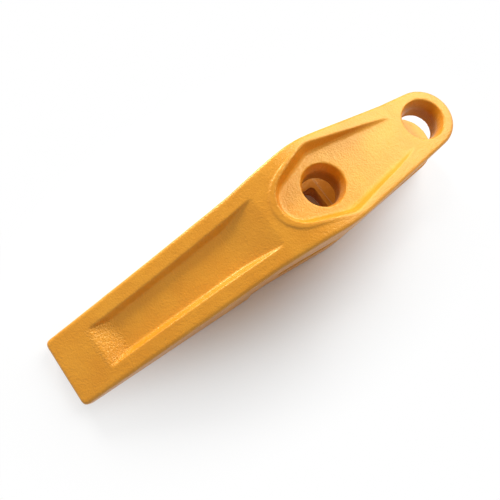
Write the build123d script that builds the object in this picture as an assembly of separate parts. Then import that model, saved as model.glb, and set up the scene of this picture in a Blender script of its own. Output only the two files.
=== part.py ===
from build123d import *
from math import asin, atan, cos, degrees, radians, sin, tan
import os

# Bucket tooth with two bolt-on straps, one steel casting.
# +X runs from the cutting tip back to the strap ends, +Y to the left side seen
# from the tip, +Z up. The origin is where the axis of the front bolt meets the
# face of the upper strap that seats on the bucket's lip plate. All in mm.

# Bolts and straps
bolt_spacing = 76.2
bolt_hole_radius = 11.0
bolt_mouth_radius = 13.0
bolt_mouth_depth = 6.5
strap_end_radius = 19.5
upper_strap_at_front_bolt = 18.3
upper_strap_at_rear_bolt = 16.1
lower_strap_thickness = 15.0

# Gap for the lip plate
lip_gap = 20.0
throat_to_front_bolt = 45.0
throat_corner_radius = 6.0
bolt_seat_reach = 14.0
seat_relief_depth = 2.0

# Square holes of the lower strap
square_hole_size = 20.6
square_hole_corner = 3.0
bolt_head_radius = 15.0
bolt_head_half_angle = 40.0
ridge_edge_radius = 0.8

# Plan of the whole tooth, taken at the level where the draft starts
draft_top = 29.0
side_draft = 1.0
tip_to_front_bolt = 174.4
tip_half_width = 22.4
tip_corner_radius = 4.2
neck_to_front_bolt = 48.0
neck_half_width = 25.0
neck_round = 60.0
widest_to_front_bolt = 0.0
widest_half_width = 28.9
widest_round = 110.0

# Lower strap, a little narrower and longer than the upper one
lower_strap_inset = 1.1
lower_strap_longer = 2.0
lower_strap_end_radius = 20.2
inset_to_front_bolt = 62.0
inset_top_below_seat = 10.0

# Side view of the top
tip_thickness = 11.0
blade_back_to_front_bolt = 35.0
blade_back_height = 20.9
blade_hollow = 1.5
rail_height_over_bolt = 26.4
rail_end_from_front_bolt = 60.0
crest_round = 60.0

# Raised bead of the crest, round the nose of the recess
bead_reach = 5.5
bead_rise = 0.9
bead_back_from_front_bolt = 5.0

# Recess of the strap pad, round the bolts
recess_nose_to_front_bolt = 28.5
recess_nose_radius = 13.0
recess_shoulder_from_front_bolt = 4.0
recess_half_width = 20.0
recess_corner_radius = 12.0
recess_tail_from_front_bolt = 66.0
recess_tail_half_width = 11.0
recess_tail_radius = 7.0
recess_height = 14.0
recess_wall_lean = 22.0
recess_foot_radius = 2.5

# Spoon-shaped pocket in the blade
pocket_front_to_tip = 23.0
pocket_back_to_front_bolt = 36.0
pocket_front_half_width = 13.2
pocket_back_half_width = 15.8
pocket_depth = 5.5
pocket_ramp_length = 13.0
pocket_ramp_round = 16.0
pocket_run_out = 26.0
pocket_run_out_round = 50.0
pocket_end_round = 50.0
pocket_end_clearance = 0.5
pocket_wall_lean = 36.0
pocket_corner_radius = 8.0
pocket_foot_radius = 1.5

# Edges
top_edge_radius = 2.0
bottom_edge_radius = 1.6

# How far a cut runs past the face it breaks through
overrun = 5.0

# Levels and places that follow from the sizes above
underside = -lip_gap - lower_strap_thickness
tip_x = -tip_to_front_bolt
tip_top = underside + tip_thickness
end_x = bolt_spacing + strap_end_radius
pad_fall = (upper_strap_at_front_bolt - upper_strap_at_rear_bolt) / bolt_spacing
both_sides = widest_half_width + overrun


def pad_height(x):
    """Height of the flat strap pad at x."""
    return upper_strap_at_front_bolt - x * pad_fall


def corners_at(face, x):
    """The corners of a flat outline that stand at x."""
    return face.vertices().filter_by(lambda v: abs(v.X - x) < 0.01)


def from_above(face):
    """The face laid at the level where the draft starts, looking down."""
    return Plane(origin=(0, 0, draft_top), x_dir=(1, 0, 0), z_dir=(0, 0, -1)) * face


def strap_plan(end_centre, end_radius, inset=0):
    """Plan of the casting as far as a strap's round end, narrowed by an inset."""
    widest = widest_half_width - inset
    reach = Vector(end_centre - widest_to_front_bolt, widest)
    lean = atan(reach.Y / reach.X) - asin(end_radius / reach.length)
    left = [
        (tip_x, tip_half_width - inset),
        (-neck_to_front_bolt, neck_half_width - inset),
        (widest_to_front_bolt, widest),
        (end_centre + end_radius * sin(lean), end_radius * cos(lean)),
    ]
    right = [(x, -y) for x, y in reversed(left)]
    end = ThreePointArc(left[-1], (end_centre + end_radius, 0), right[0])
    plan = make_face(Polyline(*right, *left) + end)
    plan = fillet(corners_at(plan, tip_x), tip_corner_radius)
    plan = fillet(corners_at(plan, -neck_to_front_bolt), neck_round)
    return fillet(corners_at(plan, widest_to_front_bolt), widest_round)


def top_line():
    """Side view of the casting, its top rising from the tip to a round crest."""
    tip = Vector(tip_x, tip_top)
    back = Vector(-blade_back_to_front_bolt, blade_back_height)
    chord = back - tip
    middle = (tip + back) / 2 - Vector(0, blade_hollow)
    rise = (chord.Y + 4 * blade_hollow) / chord.X
    rail_end = Vector(rail_end_from_front_bolt, pad_height(rail_end_from_front_bolt))
    fall = (rail_height_over_bolt - rail_end.Y) / rail_end.X
    crest_x = (rail_height_over_bolt - back.Y + rise * back.X) / (rise + fall)
    crest = Vector(crest_x, rail_height_over_bolt - fall * crest_x)
    far = end_x + overrun
    outline = ThreePointArc((tip.X, tip.Y), (middle.X, middle.Y), (back.X, back.Y))
    outline += Polyline(
        (back.X, back.Y),
        (crest.X, crest.Y),
        (rail_end.X, rail_end.Y),
        (far, pad_height(far)),
        (far, underside),
        (tip.X, underside),
        (tip.X, tip.Y),
    )
    face = make_face(outline)
    return Plane.XZ * fillet(corners_at(face, crest.X), crest_round)


def looks_up(face):
    return face.normal_at().Z > 0.5


def is_upright(face):
    return abs(face.normal_at().Z) < 0.3


def is_underside(face):
    return abs(face.center().Z - underside) < 0.01


def edges_between(solid, first, second):
    """The edges where a face of the first kind meets one of the second kind."""
    others = [edge for face in solid.faces() if second(face) for edge in face.edges()]
    return [
        edge
        for face in solid.faces() if first(face)
        for edge in face.edges()
        if any(edge.is_same(other) for other in others)
    ]


def drafted(plan):
    """The plan drawn down to the underside, narrowing by the casting's draft."""
    return extrude(from_above(plan), amount=draft_top - underside, taper=side_draft)


def blank():
    """The casting before its gap, recesses and holes: drafted sides, shaped top."""
    upper_plan = strap_plan(bolt_spacing, strap_end_radius)
    solid = drafted(upper_plan) & extrude(top_line(), amount=both_sides, both=True)
    solid = fillet(edges_between(solid, looks_up, is_upright), top_edge_radius)
    room = Pos(-inset_to_front_bolt, 0, -inset_top_below_seat) * Box(
        inset_to_front_bolt + end_x + overrun,
        2 * both_sides,
        -inset_top_below_seat - underside,
        align=(Align.MIN, Align.CENTER, Align.MAX),
    )
    lower_plan = strap_plan(
        bolt_spacing + lower_strap_longer, lower_strap_end_radius, lower_strap_inset
    )
    solid = solid - room + (drafted(lower_plan) & room)
    return fillet(edges_between(solid, is_underside, is_upright), bottom_edge_radius)


def lip_slot():
    """The gap for the lip plate, with a relief between the two bolt seats."""
    far = end_x + overrun
    low = -lip_gap - seat_relief_depth
    outline = Polyline(
        (-throat_to_front_bolt, 0),
        (far, 0),
        (far, -lip_gap),
        (bolt_spacing - bolt_seat_reach, -lip_gap),
        (bolt_spacing - bolt_seat_reach, low),
        (bolt_seat_reach, low),
        (bolt_seat_reach, -lip_gap),
        (-throat_to_front_bolt, -lip_gap),
        close=True,
    )
    face = make_face(outline)
    face = fillet(corners_at(face, -throat_to_front_bolt), throat_corner_radius)
    for x in (bolt_seat_reach, bolt_spacing - bolt_seat_reach):
        ridge = corners_at(face, x).filter_by(lambda v: abs(v.Y + lip_gap) < 0.01)
        face = fillet(ridge, ridge_edge_radius)
    return extrude(Plane.XZ * face, amount=both_sides, both=True)


def pad_plane():
    """The plane of the strap pad, sloping down to the rear."""
    return Plane(
        origin=(0, 0, upper_strap_at_front_bolt),
        x_dir=(1, 0, -pad_fall),
        z_dir=(pad_fall, 0, 1),
    )


def recess_outline():
    """Foot of the recess: a rounded nose, widest at the bolt, narrowing back."""
    outline = Pos(recess_nose_radius - recess_nose_to_front_bolt, 0) * Circle(recess_nose_radius)
    shoulder_y = recess_half_width - recess_corner_radius
    tail_y = recess_tail_half_width - recess_tail_radius
    for side in (-1, 1):
        shoulder = Pos(recess_shoulder_from_front_bolt, side * shoulder_y)
        outline += shoulder * Circle(recess_corner_radius)
        tail = Pos(recess_tail_from_front_bolt, side * tail_y)
        outline += tail * Circle(recess_tail_radius)
    return make_hull(outline.edges())


def recess():
    """The strap pad's recess, with leaning walls and a round foot."""
    tool = extrude(pad_plane() * recess_outline(), amount=recess_height, taper=-recess_wall_lean)
    foot = tool.faces().sort_by(Axis.Z)[0].edges()
    return fillet(foot, recess_foot_radius)


def crest_bead():
    """The bead round the nose of the recess, highest in front, fading into the rails."""
    ring = offset(recess_outline(), amount=bead_reach)
    ring = extrude(pad_plane() * ring, amount=recess_height)
    back = bead_back_from_front_bolt
    front = back + recess_nose_to_front_bolt + bead_reach
    tilt = degrees(atan(bead_rise / front))
    raised = Pos(back, 0, 0) * Rot(0, tilt, 0) * Pos(-back, 0, 0) * top_line()
    solid = ring & extrude(raised, amount=both_sides, both=True)
    reach = Box(
        2 * front,
        2 * both_sides,
        4 * recess_height,
        align=(Align.MAX, Align.CENTER, Align.CENTER),
    )
    return solid & (Pos(back, 0, upper_strap_at_front_bolt) * reach)


def pocket():
    """The spoon-shaped pocket in the blade, cut square to the sloping top."""
    length = tip_to_front_bolt - blade_back_to_front_bolt
    angle = atan((blade_back_height - tip_top) / length)
    blade = Plane(
        origin=(tip_x, 0, tip_top),
        x_dir=(cos(angle), 0, sin(angle)),
        z_dir=(-sin(angle), 0, cos(angle)),
    )
    front = pocket_front_to_tip / cos(angle)
    back = (tip_to_front_bolt - pocket_back_to_front_bolt) / cos(angle)
    far = back + pocket_run_out
    widening = (pocket_back_half_width - pocket_front_half_width) / (back - front)
    lean = tan(radians(pocket_wall_lean))

    def section(reach):
        """The trough across the blade: leaning walls that curve into a flat floor."""
        top = pocket_front_half_width + widening * (reach - front)
        foot = top - pocket_depth * lean
        rim = top + overrun * lean
        trough = make_face(
            Polyline(
                (-rim, overrun),
                (-foot, -pocket_depth),
                (foot, -pocket_depth),
                (rim, overrun),
                close=True,
            )
        )
        corners = trough.vertices().filter_by(lambda v: abs(v.Y + pocket_depth) < 0.01)
        across = Plane(
            origin=blade.origin + blade.x_dir * reach,
            x_dir=(0, 1, 0),
            z_dir=blade.x_dir,
        )
        return across * fillet(corners, pocket_foot_radius)

    trough = loft([section(front - overrun), section(far)])
    ramp_end = front + pocket_ramp_length
    run_out_start = back - pocket_run_out
    climb = atan(4 * blade_hollow / length)
    floor = make_face(
        Polyline(
            (front, overrun + pocket_run_out),
            (front, 0),
            (ramp_end, -pocket_depth),
            (run_out_start, -pocket_depth),
            (back, pocket_end_clearance),
            (far, pocket_end_clearance + (far - back) * tan(climb)),
            (far, overrun + pocket_run_out),
            close=True,
        )
    )
    floor = fillet(corners_at(floor, ramp_end), pocket_ramp_round)
    floor = fillet(corners_at(floor, run_out_start), pocket_run_out_round)
    floor = fillet(corners_at(floor, back), pocket_end_round)
    middle = Plane(origin=blade.origin, x_dir=blade.x_dir, z_dir=(0, -1, 0))
    outline = make_face(
        Polyline(
            (front, pocket_front_half_width),
            (front, -pocket_front_half_width),
            (far, -both_sides),
            (far, both_sides),
            close=True,
        )
    )
    outline = fillet(corners_at(outline, front), pocket_corner_radius)
    tool = trough & extrude(middle * floor, amount=both_sides, both=True)
    return tool & extrude(blade * outline, amount=pocket_depth + overrun, both=True)


def bolt_hole(x):
    """A round hole of the upper strap, its mouth opening out as a cone."""
    top = pad_height(x)
    upwards = (Align.CENTER, Align.CENTER, Align.MIN)
    bore = Pos(x, 0, -overrun) * Cylinder(bolt_hole_radius, top + 2 * overrun, align=upwards)
    spread = (bolt_mouth_radius - bolt_hole_radius) / bolt_mouth_depth
    mouth = Cone(
        bolt_hole_radius,
        bolt_mouth_radius + spread * overrun,
        bolt_mouth_depth + overrun,
        align=upwards,
    )
    return bore + Pos(x, 0, top - bolt_mouth_depth) * mouth


def square_hole(x):
    """The lower strap's square hole for the bolt's neck, with a cone for its head."""
    shape = RectangleRounded(square_hole_size, square_hole_size, square_hole_corner)
    depth = lower_strap_thickness + 2 * overrun
    neck = Pos(x, 0, underside - overrun) * extrude(shape, amount=depth)
    lean = tan(radians(bolt_head_half_angle))
    head = Cone(
        bolt_head_radius + overrun * lean,
        0,
        overrun + bolt_head_radius / lean,
        align=(Align.CENTER, Align.CENTER, Align.MIN),
    )
    return neck + Pos(x, 0, underside - overrun) * head


tooth = blank() + crest_bead()
tooth -= lip_slot()
tooth -= recess()
tooth -= pocket()
for bolt_x in (0, bolt_spacing):
    tooth -= bolt_hole(bolt_x)
    tooth -= square_hole(bolt_x)

os.makedirs("parts", exist_ok=True)
export_step(tooth, "parts/bucket_tooth.step")
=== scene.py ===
# %% [markdown]
# # Bucket tooth
# A wedge-shaped steel casting painted yellow. It is bolted to the edge of a loader's
# bucket and digs for it. Here it lies on a white table and is seen from above. Its
# form could be modelled again in Blender. It is loaded from the construction model
# instead, as a fixed frame in metres, so that every size stays as it was built: the
# front bolt's axis stands at the origin, +X runs back along the straps and +Z up.

# %% Load the frame
import bmesh
import bpy
from math import hypot
from mathutils import Matrix, Vector


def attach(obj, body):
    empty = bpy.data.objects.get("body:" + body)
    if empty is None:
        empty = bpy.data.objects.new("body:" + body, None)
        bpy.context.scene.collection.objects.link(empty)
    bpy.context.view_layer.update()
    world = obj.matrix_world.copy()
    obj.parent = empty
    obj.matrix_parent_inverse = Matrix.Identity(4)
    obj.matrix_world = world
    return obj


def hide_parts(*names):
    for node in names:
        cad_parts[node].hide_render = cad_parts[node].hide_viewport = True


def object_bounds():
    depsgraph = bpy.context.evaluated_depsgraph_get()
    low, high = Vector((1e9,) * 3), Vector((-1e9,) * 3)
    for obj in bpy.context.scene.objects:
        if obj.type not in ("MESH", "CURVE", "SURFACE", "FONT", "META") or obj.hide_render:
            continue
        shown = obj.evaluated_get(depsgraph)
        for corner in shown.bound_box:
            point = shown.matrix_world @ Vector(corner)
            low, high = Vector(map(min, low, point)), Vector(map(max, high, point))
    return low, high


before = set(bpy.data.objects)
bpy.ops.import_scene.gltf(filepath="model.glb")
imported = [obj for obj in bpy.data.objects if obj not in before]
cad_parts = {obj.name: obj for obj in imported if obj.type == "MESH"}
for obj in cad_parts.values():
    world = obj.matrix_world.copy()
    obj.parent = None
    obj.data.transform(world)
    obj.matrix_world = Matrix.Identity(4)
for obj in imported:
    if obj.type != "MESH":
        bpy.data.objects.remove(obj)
cad_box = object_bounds()
print("construction box, m:", [round(v, 4) for corner in cad_box for v in corner])

# %% [markdown]
# ## Helpers
# Colours are written as the eye sees them and made linear in one place, because
# Blender's shaders count in linear light. One small function adds a node to any
# tree with its settings and its links, which keeps a tree readable from top to
# bottom. Places on the casting are marked by regions with soft edges, in metres, so
# that one finish fades into the next.

# %% Helpers
def linear(code):
    """Linear RGBA of a hex colour as the eye sees it."""
    values = [int(code[i:i + 2], 16) / 255 for i in (1, 3, 5)]
    return [v / 12.92 if v <= 0.04045 else ((v + 0.055) / 1.055) ** 2.4 for v in values] + [1.0]


def add(tree, kind, inputs=None, **settings):
    """A new node in the tree; inputs maps a socket to a value or another socket."""
    node = tree.nodes.new(kind)
    for name, value in settings.items():
        setattr(node, name, value)
    for name, value in (inputs or {}).items():
        if isinstance(value, bpy.types.NodeSocket):
            tree.links.new(value, node.inputs[name])
        else:
            node.inputs[name].default_value = value
    return node


def looked_at(tree):
    """1 for what the camera, a reflection or glass sees, 0 for light that bounces."""
    path = add(tree, "ShaderNodeLightPath").outputs
    seen = add(tree, "ShaderNodeMath", {
        0: path["Is Camera Ray"], 1: path["Is Glossy Ray"]}, operation="MAXIMUM")
    return add(tree, "ShaderNodeMath", {
        0: seen.outputs[0], 1: path["Is Transmission Ray"]}, operation="MAXIMUM").outputs[0]


def per_metre(size_mm):
    """Noise scale whose lumps are about size_mm across on an object in metres."""
    return 1000.0 / size_mm


def region(tree, bounds):
    """1 inside all bounds, each a measure with where it counts as outside and as inside."""
    share = 1.0
    for measure, outside, inside in bounds:
        edge = add(tree, "ShaderNodeMapRange", {
            "Value": measure, "From Min": outside, "From Max": inside},
            interpolation_type="SMOOTHSTEP")
        share = add(tree, "ShaderNodeMath", {
            0: share, 1: edge.outputs["Result"]}, operation="MULTIPLY").outputs[0]
    return share


def applied(piece):
    """The piece with its modifiers turned into plain mesh."""
    view = bpy.context.evaluated_depsgraph_get()
    finished = bpy.data.meshes.new_from_object(piece.evaluated_get(view))
    piece.modifiers.clear()
    piece.data = finished
    return piece


print("mid grey made linear:", round(linear("#808080")[0], 3))

# %% [markdown]
# ## Where the edges are less round
# Sand and paint round every edge of a casting by a millimetre or two. The outside
# is ground after casting and is the roundest. The pocket, the recess on the strap
# and the bolt holes stay as the mould made them and keep more of their edges. They
# could be painted by hand as weights. They are worked out from the casting's own
# sizes instead, so that they hold for any mesh. Each border is a pair: where such
# a place begins and where it is in full, in metres.

# %% Where the edges are less round
BOLT_SPACING_M = 0.0762
HOLE_RING_M = (0.0165, 0.0150)
RECESS_SIDE_M = (0.0220, 0.0205)
RECESS_HEIGHT_M = (0.0100, 0.0120)
RECESS_FRONT_M = (-0.0350, -0.0330)
POCKET_SIDE_M = (0.0190, 0.0175)
POCKET_BACK_M = (-0.0330, -0.0350)
CRISP_SHARE = 0.35


def step(value, start, end):
    """0 at start, 1 at end, straight between them."""
    return min(1.0, max(0.0, (value - start) / (end - start)))


def relax_share(point):
    """How far a point takes part in the relaxing, less in the pocket and the holes."""
    off_axis = min(hypot(point.x, point.y), hypot(point.x - BOLT_SPACING_M, point.y))
    sideways = abs(point.y)
    in_hole = step(off_axis, *HOLE_RING_M)
    in_recess = (step(sideways, *RECESS_SIDE_M) * step(point.z, *RECESS_HEIGHT_M)
                 * step(point.x, *RECESS_FRONT_M))
    in_pocket = step(sideways, *POCKET_SIDE_M) * step(point.x, *POCKET_BACK_M)
    crisp = max(in_hole, in_recess, in_pocket)
    return 1.0 - (1.0 - CRISP_SHARE) * crisp


print("relaxing at the front bolt:", round(relax_share(Vector()), 2), "of the full share")

# %% [markdown]
# ## Cast skin
# The construction solid has crisp inner edges, and a real casting has none. A Bevel
# modifier would round them on a clean mesh, but it tears on the long thin triangles
# of an exported solid. So the form is remeshed into an even net of small squares
# and then relaxed, which rounds what is sharp and leaves the rest. A vertex group
# holds each point's share in that. The net has to be finer than the edge rounds, or
# they come out notched, so it is thinned again at the end.

# %% Cast skin
SAME_POINT_M = 1e-6
NET_MM = 0.5
RELAX_STEPS = 18
RELAX_FACTOR = 0.5
MOST_TRIANGLES = 190_000


def merged_copy(node_name):
    """A copy of a construction node whose triangles share their corners."""
    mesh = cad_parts[node_name].data.copy()
    mesh.name = "cast_skin"
    whole = bmesh.new()
    whole.from_mesh(mesh)
    bmesh.ops.remove_doubles(whole, verts=whole.verts, dist=SAME_POINT_M)
    whole.to_mesh(mesh)
    whole.free()
    piece = bpy.data.objects.new("cast_skin", mesh)
    bpy.context.scene.collection.objects.link(piece)
    return piece


def remesh(piece):
    """Turns the piece's surface into an even net."""
    net = piece.modifiers.new("net", "REMESH")
    net.mode = "VOXEL"
    net.voxel_size = NET_MM / 1000
    applied(piece)


def relax(piece):
    """Rounds the piece's edges, each point by its own share."""
    share = piece.vertex_groups.new(name="relax_share")
    for vertex in piece.data.vertices:
        share.add([vertex.index], relax_share(vertex.co), "REPLACE")
    rounding = piece.modifiers.new("relax", "SMOOTH")
    rounding.factor = RELAX_FACTOR
    rounding.iterations = RELAX_STEPS
    rounding.vertex_group = "relax_share"
    applied(piece)


def thin_out(piece):
    """Thins the net to the most triangles that the piece may have."""
    piece.data.calc_loop_triangles()
    thin = piece.modifiers.new("thin", "DECIMATE")
    thin.ratio = min(1.0, MOST_TRIANGLES / len(piece.data.loop_triangles))
    applied(piece)
    piece.vertex_groups.clear()


skin = merged_copy("bucket_tooth")
remesh(skin)
relax(skin)
thin_out(skin)
for face in skin.data.polygons:
    face.use_smooth = True
skin.data.calc_loop_triangles()
print("cast skin:", len(skin.data.loop_triangles), "triangles")

# %% [markdown]
# ## Unevenness of the casting
# A poured surface is never flat: it waves by about a tenth of a millimetre over
# a finger's width, and the light runs over it in slow, broken streaks. Sculpting
# or a Displace modifier could do it too. Geometry nodes are used because the rule
# is plain: move each point along its normal by a noise. It only presses inwards,
# so the casting never grows past its real size.

# %% Unevenness of the casting
WAVE_MM = 14.0
WAVE_HEIGHT_MM = 0.16


def uneven_tree():
    """Geometry nodes that press a surface in along its normals by noise."""
    tree = bpy.data.node_groups.new("casting_unevenness", "GeometryNodeTree")
    sockets = tree.interface
    sockets.new_socket("Geometry", in_out="INPUT", socket_type="NodeSocketGeometry")
    for name in ("Wave scale", "Wave height"):
        sockets.new_socket(name, in_out="INPUT", socket_type="NodeSocketFloat")
    sockets.new_socket("Paint", in_out="INPUT", socket_type="NodeSocketMaterial")
    sockets.new_socket("Geometry", in_out="OUTPUT", socket_type="NodeSocketGeometry")
    given = add(tree, "NodeGroupInput")
    noise = add(tree, "ShaderNodeTexNoise", {"Scale": given.outputs["Wave scale"], "Detail": 2.0})
    inward = add(tree, "ShaderNodeMath", {0: noise.outputs["Fac"], 1: -1.0}, operation="MULTIPLY")
    amount = add(tree, "ShaderNodeMath", {
        0: inward.outputs[0], 1: given.outputs["Wave height"]}, operation="MULTIPLY")
    normal = add(tree, "GeometryNodeInputNormal")
    push = add(tree, "ShaderNodeVectorMath", {
        0: normal.outputs["Normal"], "Scale": amount.outputs[0]}, operation="SCALE")
    moved = add(tree, "GeometryNodeSetPosition", {
        "Geometry": given.outputs["Geometry"], "Offset": push.outputs[0]})
    real = add(tree, "GeometryNodeRealizeInstances", {"Geometry": moved.outputs["Geometry"]})
    painted = add(tree, "GeometryNodeSetMaterial", {
        "Geometry": real.outputs["Geometry"], "Material": given.outputs["Paint"]})
    add(tree, "NodeGroupOutput", {"Geometry": painted.outputs["Geometry"]})
    return tree


def make_uneven(piece, paint):
    """Applies the unevenness to a piece and leaves plain mesh behind."""
    wave = piece.modifiers.new("unevenness", "NODES")
    wave.node_group = uneven_tree()
    values = {"Wave scale": per_metre(WAVE_MM), "Wave height": WAVE_HEIGHT_MM / 1000, "Paint": paint}
    for item in wave.node_group.interface.items_tree:
        if item.in_out == "INPUT" and item.name in values:
            wave[item.identifier] = values[item.name]
    return applied(piece)


print("waves about", WAVE_MM, "mm across, pressed in by up to", WAVE_HEIGHT_MM, "mm")

# %% [markdown]
# ## Painted shade and coarse sand
# The bolt holes and the middle of the gap between the straps are painted brown, as
# painted shade where little light gets in. The pocket's front ramp shows the
# coarsest sand. Both could be painted on by hand. Regions in the casting's own
# space are used instead, because they need no unwrapping. Each border is a pair:
# where the region begins and where it is in full, in metres.

# %% Painted shade and coarse sand
# Borders of the painted shade in the bolt holes and the gap between the straps.
HOLE_WALL_M = (0.0150, 0.0110)
HOLE_DEPTH_M = (0.0150, 0.0060)
GAP_TOP_M = (0.0006, 0.0000)
GAP_FLOOR_M = (-0.0226, -0.0220)
GAP_THROAT_M = (-0.0465, -0.0440)
GAP_SHADE_SIDE_M = (0.0270, 0.0120)
GAP_SHADE_BACK_M = (0.0960, 0.0860)
RAMP_FOOT_M = (-0.1330, -0.1370)
RAMP_TOP_M = (-0.1525, -0.1505)
RAMP_SIDE_M = (0.0135, 0.0120)


def painted_shade(tree, place):
    """1 where shade is painted, in the bolt holes and the gap, 0 outside."""
    axes = add(tree, "ShaderNodeSeparateXYZ", {"Vector": place}).outputs
    sideways = add(tree, "ShaderNodeMath", {0: axes["Y"]}, operation="ABSOLUTE").outputs[0]
    share = region(tree, [
        (axes["Z"], *GAP_TOP_M), (axes["Z"], *GAP_FLOOR_M), (axes["X"], *GAP_THROAT_M),
        (sideways, *GAP_SHADE_SIDE_M), (axes["X"], *GAP_SHADE_BACK_M)])
    for bolt_x in (0.0, BOLT_SPACING_M):
        from_bolt = add(tree, "ShaderNodeVectorMath", {
            0: place, 1: (bolt_x, 0.0, 0.0)}, operation="SUBTRACT").outputs[0]
        level = add(tree, "ShaderNodeVectorMath", {
            0: from_bolt, 1: (1.0, 1.0, 0.0)}, operation="MULTIPLY").outputs[0]
        distance = add(tree, "ShaderNodeVectorMath", {0: level}, operation="LENGTH")
        hole = region(tree, [
            (distance.outputs["Value"], *HOLE_WALL_M), (axes["Z"], *HOLE_DEPTH_M)])
        share = add(tree, "ShaderNodeMath", {0: share, 1: hole}, operation="MAXIMUM").outputs[0]
    return share


def rough_sand(tree, place):
    """1 on the pocket's front ramp, where the mould's sand was coarse, 0 elsewhere."""
    axes = add(tree, "ShaderNodeSeparateXYZ", {"Vector": place}).outputs
    sideways = add(tree, "ShaderNodeMath", {0: axes["Y"]}, operation="ABSOLUTE").outputs[0]
    return region(tree, [
        (axes["X"], *RAMP_FOOT_M), (axes["X"], *RAMP_TOP_M), (sideways, *RAMP_SIDE_M)])


print("coarse sand from x", RAMP_TOP_M[1], "to", RAMP_FOOT_M[1])

# %% [markdown]
# ## Paint
# Yellow enamel, sprayed over a sand casting. The eye sees a warm yellow that drifts
# a little where the coat is thinner, and a satin gloss. The casting's grain stays
# visible below the paint and breaks each highlight into small sparks. A painted
# picture could hold all this, but noise in object space needs no unwrapping and
# has the same grain size everywhere.

# %% Paint
THIN_YELLOW = linear("#DC8A16")
FULL_YELLOW = linear("#E89A24")
# Painted shade: the brown for the bolt holes and the gap between the straps.
PAINTED_SHADE_BROWN = linear("#AE6813")
TINT_STOPS = (0.32, 0.68)
DRIFT_MM = 22.0
LUMP_MM = 3.5
LUMP_STRENGTH = 0.28
LUMP_HEIGHT_M = 0.0006
# Moulding sand is a few tenths of a millimetre, too fine to show, so it is coarser here.
GRAIN_MM = 1.1
GRAIN_STRENGTH = (0.60, 1.30)
GRAIN_HEIGHT_M = 0.0005
# Enamel keeps the default IOR and isn't metallic. Its roughness is that of a satin
# gloss. Its highlights are matched to the object's, which are strong and warm.
ENAMEL_ROUGHNESS = 0.34
HIGHLIGHT_LEVEL = 1.0
WARM_HIGHLIGHT = linear("#FFEEAC")


def yellow_enamel():
    """Enamel on a sand casting: warm yellow with painted shade in the holes and the gap, satin
    gloss, sandy grain below it.
    """
    material = bpy.data.materials.new("yellow_enamel_on_cast_steel")
    material.use_nodes = True
    tree = material.node_tree
    tree.nodes.clear()
    place = add(tree, "ShaderNodeTexCoord").outputs["Object"]
    drift = add(tree, "ShaderNodeTexNoise", {
        "Vector": place, "Scale": per_metre(DRIFT_MM), "Detail": 4.0})
    tint = add(tree, "ShaderNodeValToRGB", {"Fac": drift.outputs["Fac"]})
    stops = zip(tint.color_ramp.elements, TINT_STOPS, (THIN_YELLOW, FULL_YELLOW))
    for element, position, colour in stops:
        element.position = position
        element.color = colour
    # The yellow turns to the painted shade brown in the bolt holes and the gap.
    paint_and_shade = add(tree, "ShaderNodeMix", {"Factor": painted_shade(tree, place)}, data_type="RGBA")
    tree.links.new(tint.outputs["Color"], paint_and_shade.inputs["A"])
    paint_and_shade.inputs["B"].default_value = PAINTED_SHADE_BROWN
    lumps = add(tree, "ShaderNodeTexNoise", {
        "Vector": place, "Scale": per_metre(LUMP_MM), "Detail": 2.0})
    grain = add(tree, "ShaderNodeTexNoise", {
        "Vector": place, "Scale": per_metre(GRAIN_MM), "Detail": 3.0, "Roughness": 0.6})
    coarse = add(tree, "ShaderNodeMapRange", {
        "Value": rough_sand(tree, place), "To Min": GRAIN_STRENGTH[0], "To Max": GRAIN_STRENGTH[1]})
    soft = add(tree, "ShaderNodeBump", {
        "Height": lumps.outputs["Fac"], "Strength": LUMP_STRENGTH, "Distance": LUMP_HEIGHT_M})
    fine = add(tree, "ShaderNodeBump", {
        "Height": grain.outputs["Fac"], "Strength": coarse.outputs["Result"],
        "Distance": GRAIN_HEIGHT_M, "Normal": soft.outputs["Normal"]})
    shader = add(tree, "ShaderNodeBsdfPrincipled", {
        "Base Color": paint_and_shade.outputs["Result"], "Roughness": ENAMEL_ROUGHNESS,
        "Specular IOR Level": HIGHLIGHT_LEVEL, "Specular Tint": WARM_HIGHLIGHT,
        "Normal": fine.outputs["Normal"]})
    add(tree, "ShaderNodeOutputMaterial", {"Surface": shader.outputs["BSDF"]})
    return material


make_uneven(skin, yellow_enamel())
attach(skin, "root")
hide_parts("bucket_tooth")
print("painted", skin.name, "as", [m.name for m in skin.data.materials])

# %% [markdown]
# ## Table
# The tooth lies on its flat underside on a table with a matt white lacquer, which
# gives the eye a soft shadow and no gloss. A real white top goes grey away from the
# lamps. More light would whiten it, but it would bleach the paint too. So the top is
# matt close to the tooth, where it takes the shadow, and further out the camera sees
# plain white. The light that the table throws back comes from the matt top alone.

# %% Table
SHADOW_REACH_M = 0.025
WHITE_FROM_M = 0.120
TABLE_REACH_M = 4.0
TABLE_LEVEL_M = cad_box[0][2]
TOOTH_MIDDLE = ((cad_box[0][0] + cad_box[1][0]) / 2, 0.0, 0.0)
# Lengths along the tooth count for less, so the matt place is long, as the tooth is.
LENGTH_SHARE = 0.6


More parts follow.
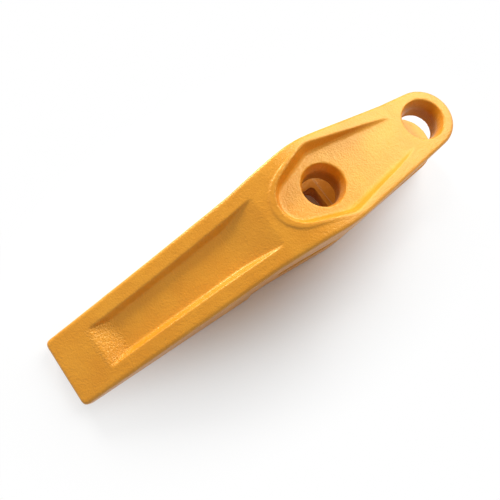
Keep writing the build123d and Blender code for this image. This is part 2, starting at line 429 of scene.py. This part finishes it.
def matt_white():
    """Matt white lacquer near the tooth, plain white to the camera further out."""
    material = bpy.data.materials.new("matt_white_table_top")
    material.use_nodes = True
    tree = material.node_tree
    tree.nodes.clear()
    place = add(tree, "ShaderNodeTexCoord").outputs["Object"]
    away = add(tree, "ShaderNodeVectorMath", {0: place, 1: TOOTH_MIDDLE}, operation="SUBTRACT")
    narrowed = add(tree, "ShaderNodeVectorMath", {
        0: away.outputs[0], 1: (LENGTH_SHARE, 1.0, 0.0)}, operation="MULTIPLY")
    distance = add(tree, "ShaderNodeVectorMath", {0: narrowed.outputs[0]}, operation="LENGTH")
    beyond = region(tree, [(distance.outputs["Value"], SHADOW_REACH_M, WHITE_FROM_M)])
    share = add(tree, "ShaderNodeMath", {0: looked_at(tree), 1: beyond}, operation="MULTIPLY")
    matt = add(tree, "ShaderNodeBsdfDiffuse", {"Color": linear("#FBFBFA")})
    white = add(tree, "ShaderNodeEmission", {"Color": linear("#FFFFFF"), "Strength": 1.0})
    top = add(tree, "ShaderNodeMixShader", {"Fac": share.outputs[0]})
    tree.links.new(matt.outputs["BSDF"], top.inputs[1])
    tree.links.new(white.outputs["Emission"], top.inputs[2])
    add(tree, "ShaderNodeOutputMaterial", {"Surface": top.outputs["Shader"]})
    return material


def white_table():
    """A wide flat top at the level of the tooth's underside."""
    signs = [(-1, -1), (1, -1), (1, 1), (-1, 1)]
    corners = [(x * TABLE_REACH_M, y * TABLE_REACH_M, TABLE_LEVEL_M) for x, y in signs]
    mesh = bpy.data.meshes.new("table")
    mesh.from_pydata(corners, [], [(0, 1, 2, 3)])
    mesh.materials.append(matt_white())
    table = bpy.data.objects.new("table", mesh)
    bpy.context.scene.collection.objects.link(table)
    return table


white_table()
print("table at z", round(TABLE_LEVEL_M, 4))

# %% [markdown]
# ## Light
# Two near softboxes give the casting its form. One hangs behind and above the
# straps: it lights the strap pad most and fades towards the tip. The other is
# small and stands low at the tooth's left, where the pocket's right wall mirrors
# it as a long pale band. One big lamp overhead would be simpler, but it would
# flatten the pocket. A pale room fills the rest.

# %% Light
BACK_LAMP_M = (0.46, 0.17, 0.46)
BACK_LAMP_SIZE_M = 0.50
BACK_LAMP_WATTS = 4.4
LEFT_LAMP_M = (-0.05, 0.60, 0.22)
LEFT_LAMP_SIZE_M = 0.24
LEFT_LAMP_WATTS = 4.6
ROOM_STRENGTH = 0.29


def softbox(name, spot, size, power):
    """A square area light at spot, facing the tooth."""
    data = bpy.data.lights.new(name, "AREA")
    data.size = size
    data.energy = power
    light = bpy.data.objects.new(name, data)
    light.location = spot
    light.rotation_euler = (-Vector(spot)).to_track_quat("-Z", "Y").to_euler()
    bpy.context.scene.collection.objects.link(light)
    return light


def pale_room(strength):
    """Even light from all round; whoever looks past the tooth sees plain white."""
    world = bpy.data.worlds.new("pale_room")
    bpy.context.scene.world = world
    world.use_nodes = True
    tree = world.node_tree
    tree.nodes.clear()
    level = add(tree, "ShaderNodeMapRange", {
        "Value": looked_at(tree), "To Min": strength, "To Max": 1.0})
    room = add(tree, "ShaderNodeBackground", {
        "Color": linear("#FFFFFF"), "Strength": level.outputs["Result"]})
    add(tree, "ShaderNodeOutputWorld", {"Surface": room.outputs["Background"]})


softbox("back_softbox", BACK_LAMP_M, BACK_LAMP_SIZE_M, BACK_LAMP_WATTS)
softbox("left_softbox", LEFT_LAMP_M, LEFT_LAMP_SIZE_M, LEFT_LAMP_WATTS)
pale_room(ROOM_STRENGTH)

# %% [markdown]
# ## Camera
# It hangs about a quarter of a metre above the tooth and looks almost straight
# down, a little back along the blade, so the tip points to the lower left. A Track
# To constraint could aim it, but its roll matters here as well, so it is placed by
# the directions of its right and its back.

# %% Camera
CAMERA_M = (-0.1130, -0.0485, 0.2705)
CAMERA_RIGHT = (0.8086, -0.5814, 0.0896)
CAMERA_BACK = (-0.2196, -0.1570, 0.9629)
SENSOR_MM = 36.0
LENS_MM = 36.0
NEAREST_M = 0.01


def overhead_camera():
    """A camera placed by its position and the directions of its right and back."""
    right = Vector(CAMERA_RIGHT).normalized()
    back = Vector(CAMERA_BACK).normalized()
    up = back.cross(right).normalized()
    pose = Matrix((up.cross(back), up, back)).transposed().to_4x4()
    pose.translation = Vector(CAMERA_M)
    data = bpy.data.cameras.new("overhead")
    data.sensor_width = SENSOR_MM
    data.lens = LENS_MM
    data.clip_start = NEAREST_M
    camera = bpy.data.objects.new("overhead", data)
    camera.matrix_world = pose
    bpy.context.scene.collection.objects.link(camera)
    bpy.context.scene.camera = camera
    return camera


overhead_camera()
bpy.context.scene.view_settings.view_transform = "Standard"
print("camera at", CAMERA_M, "m with a lens of", LENS_MM, "mm")
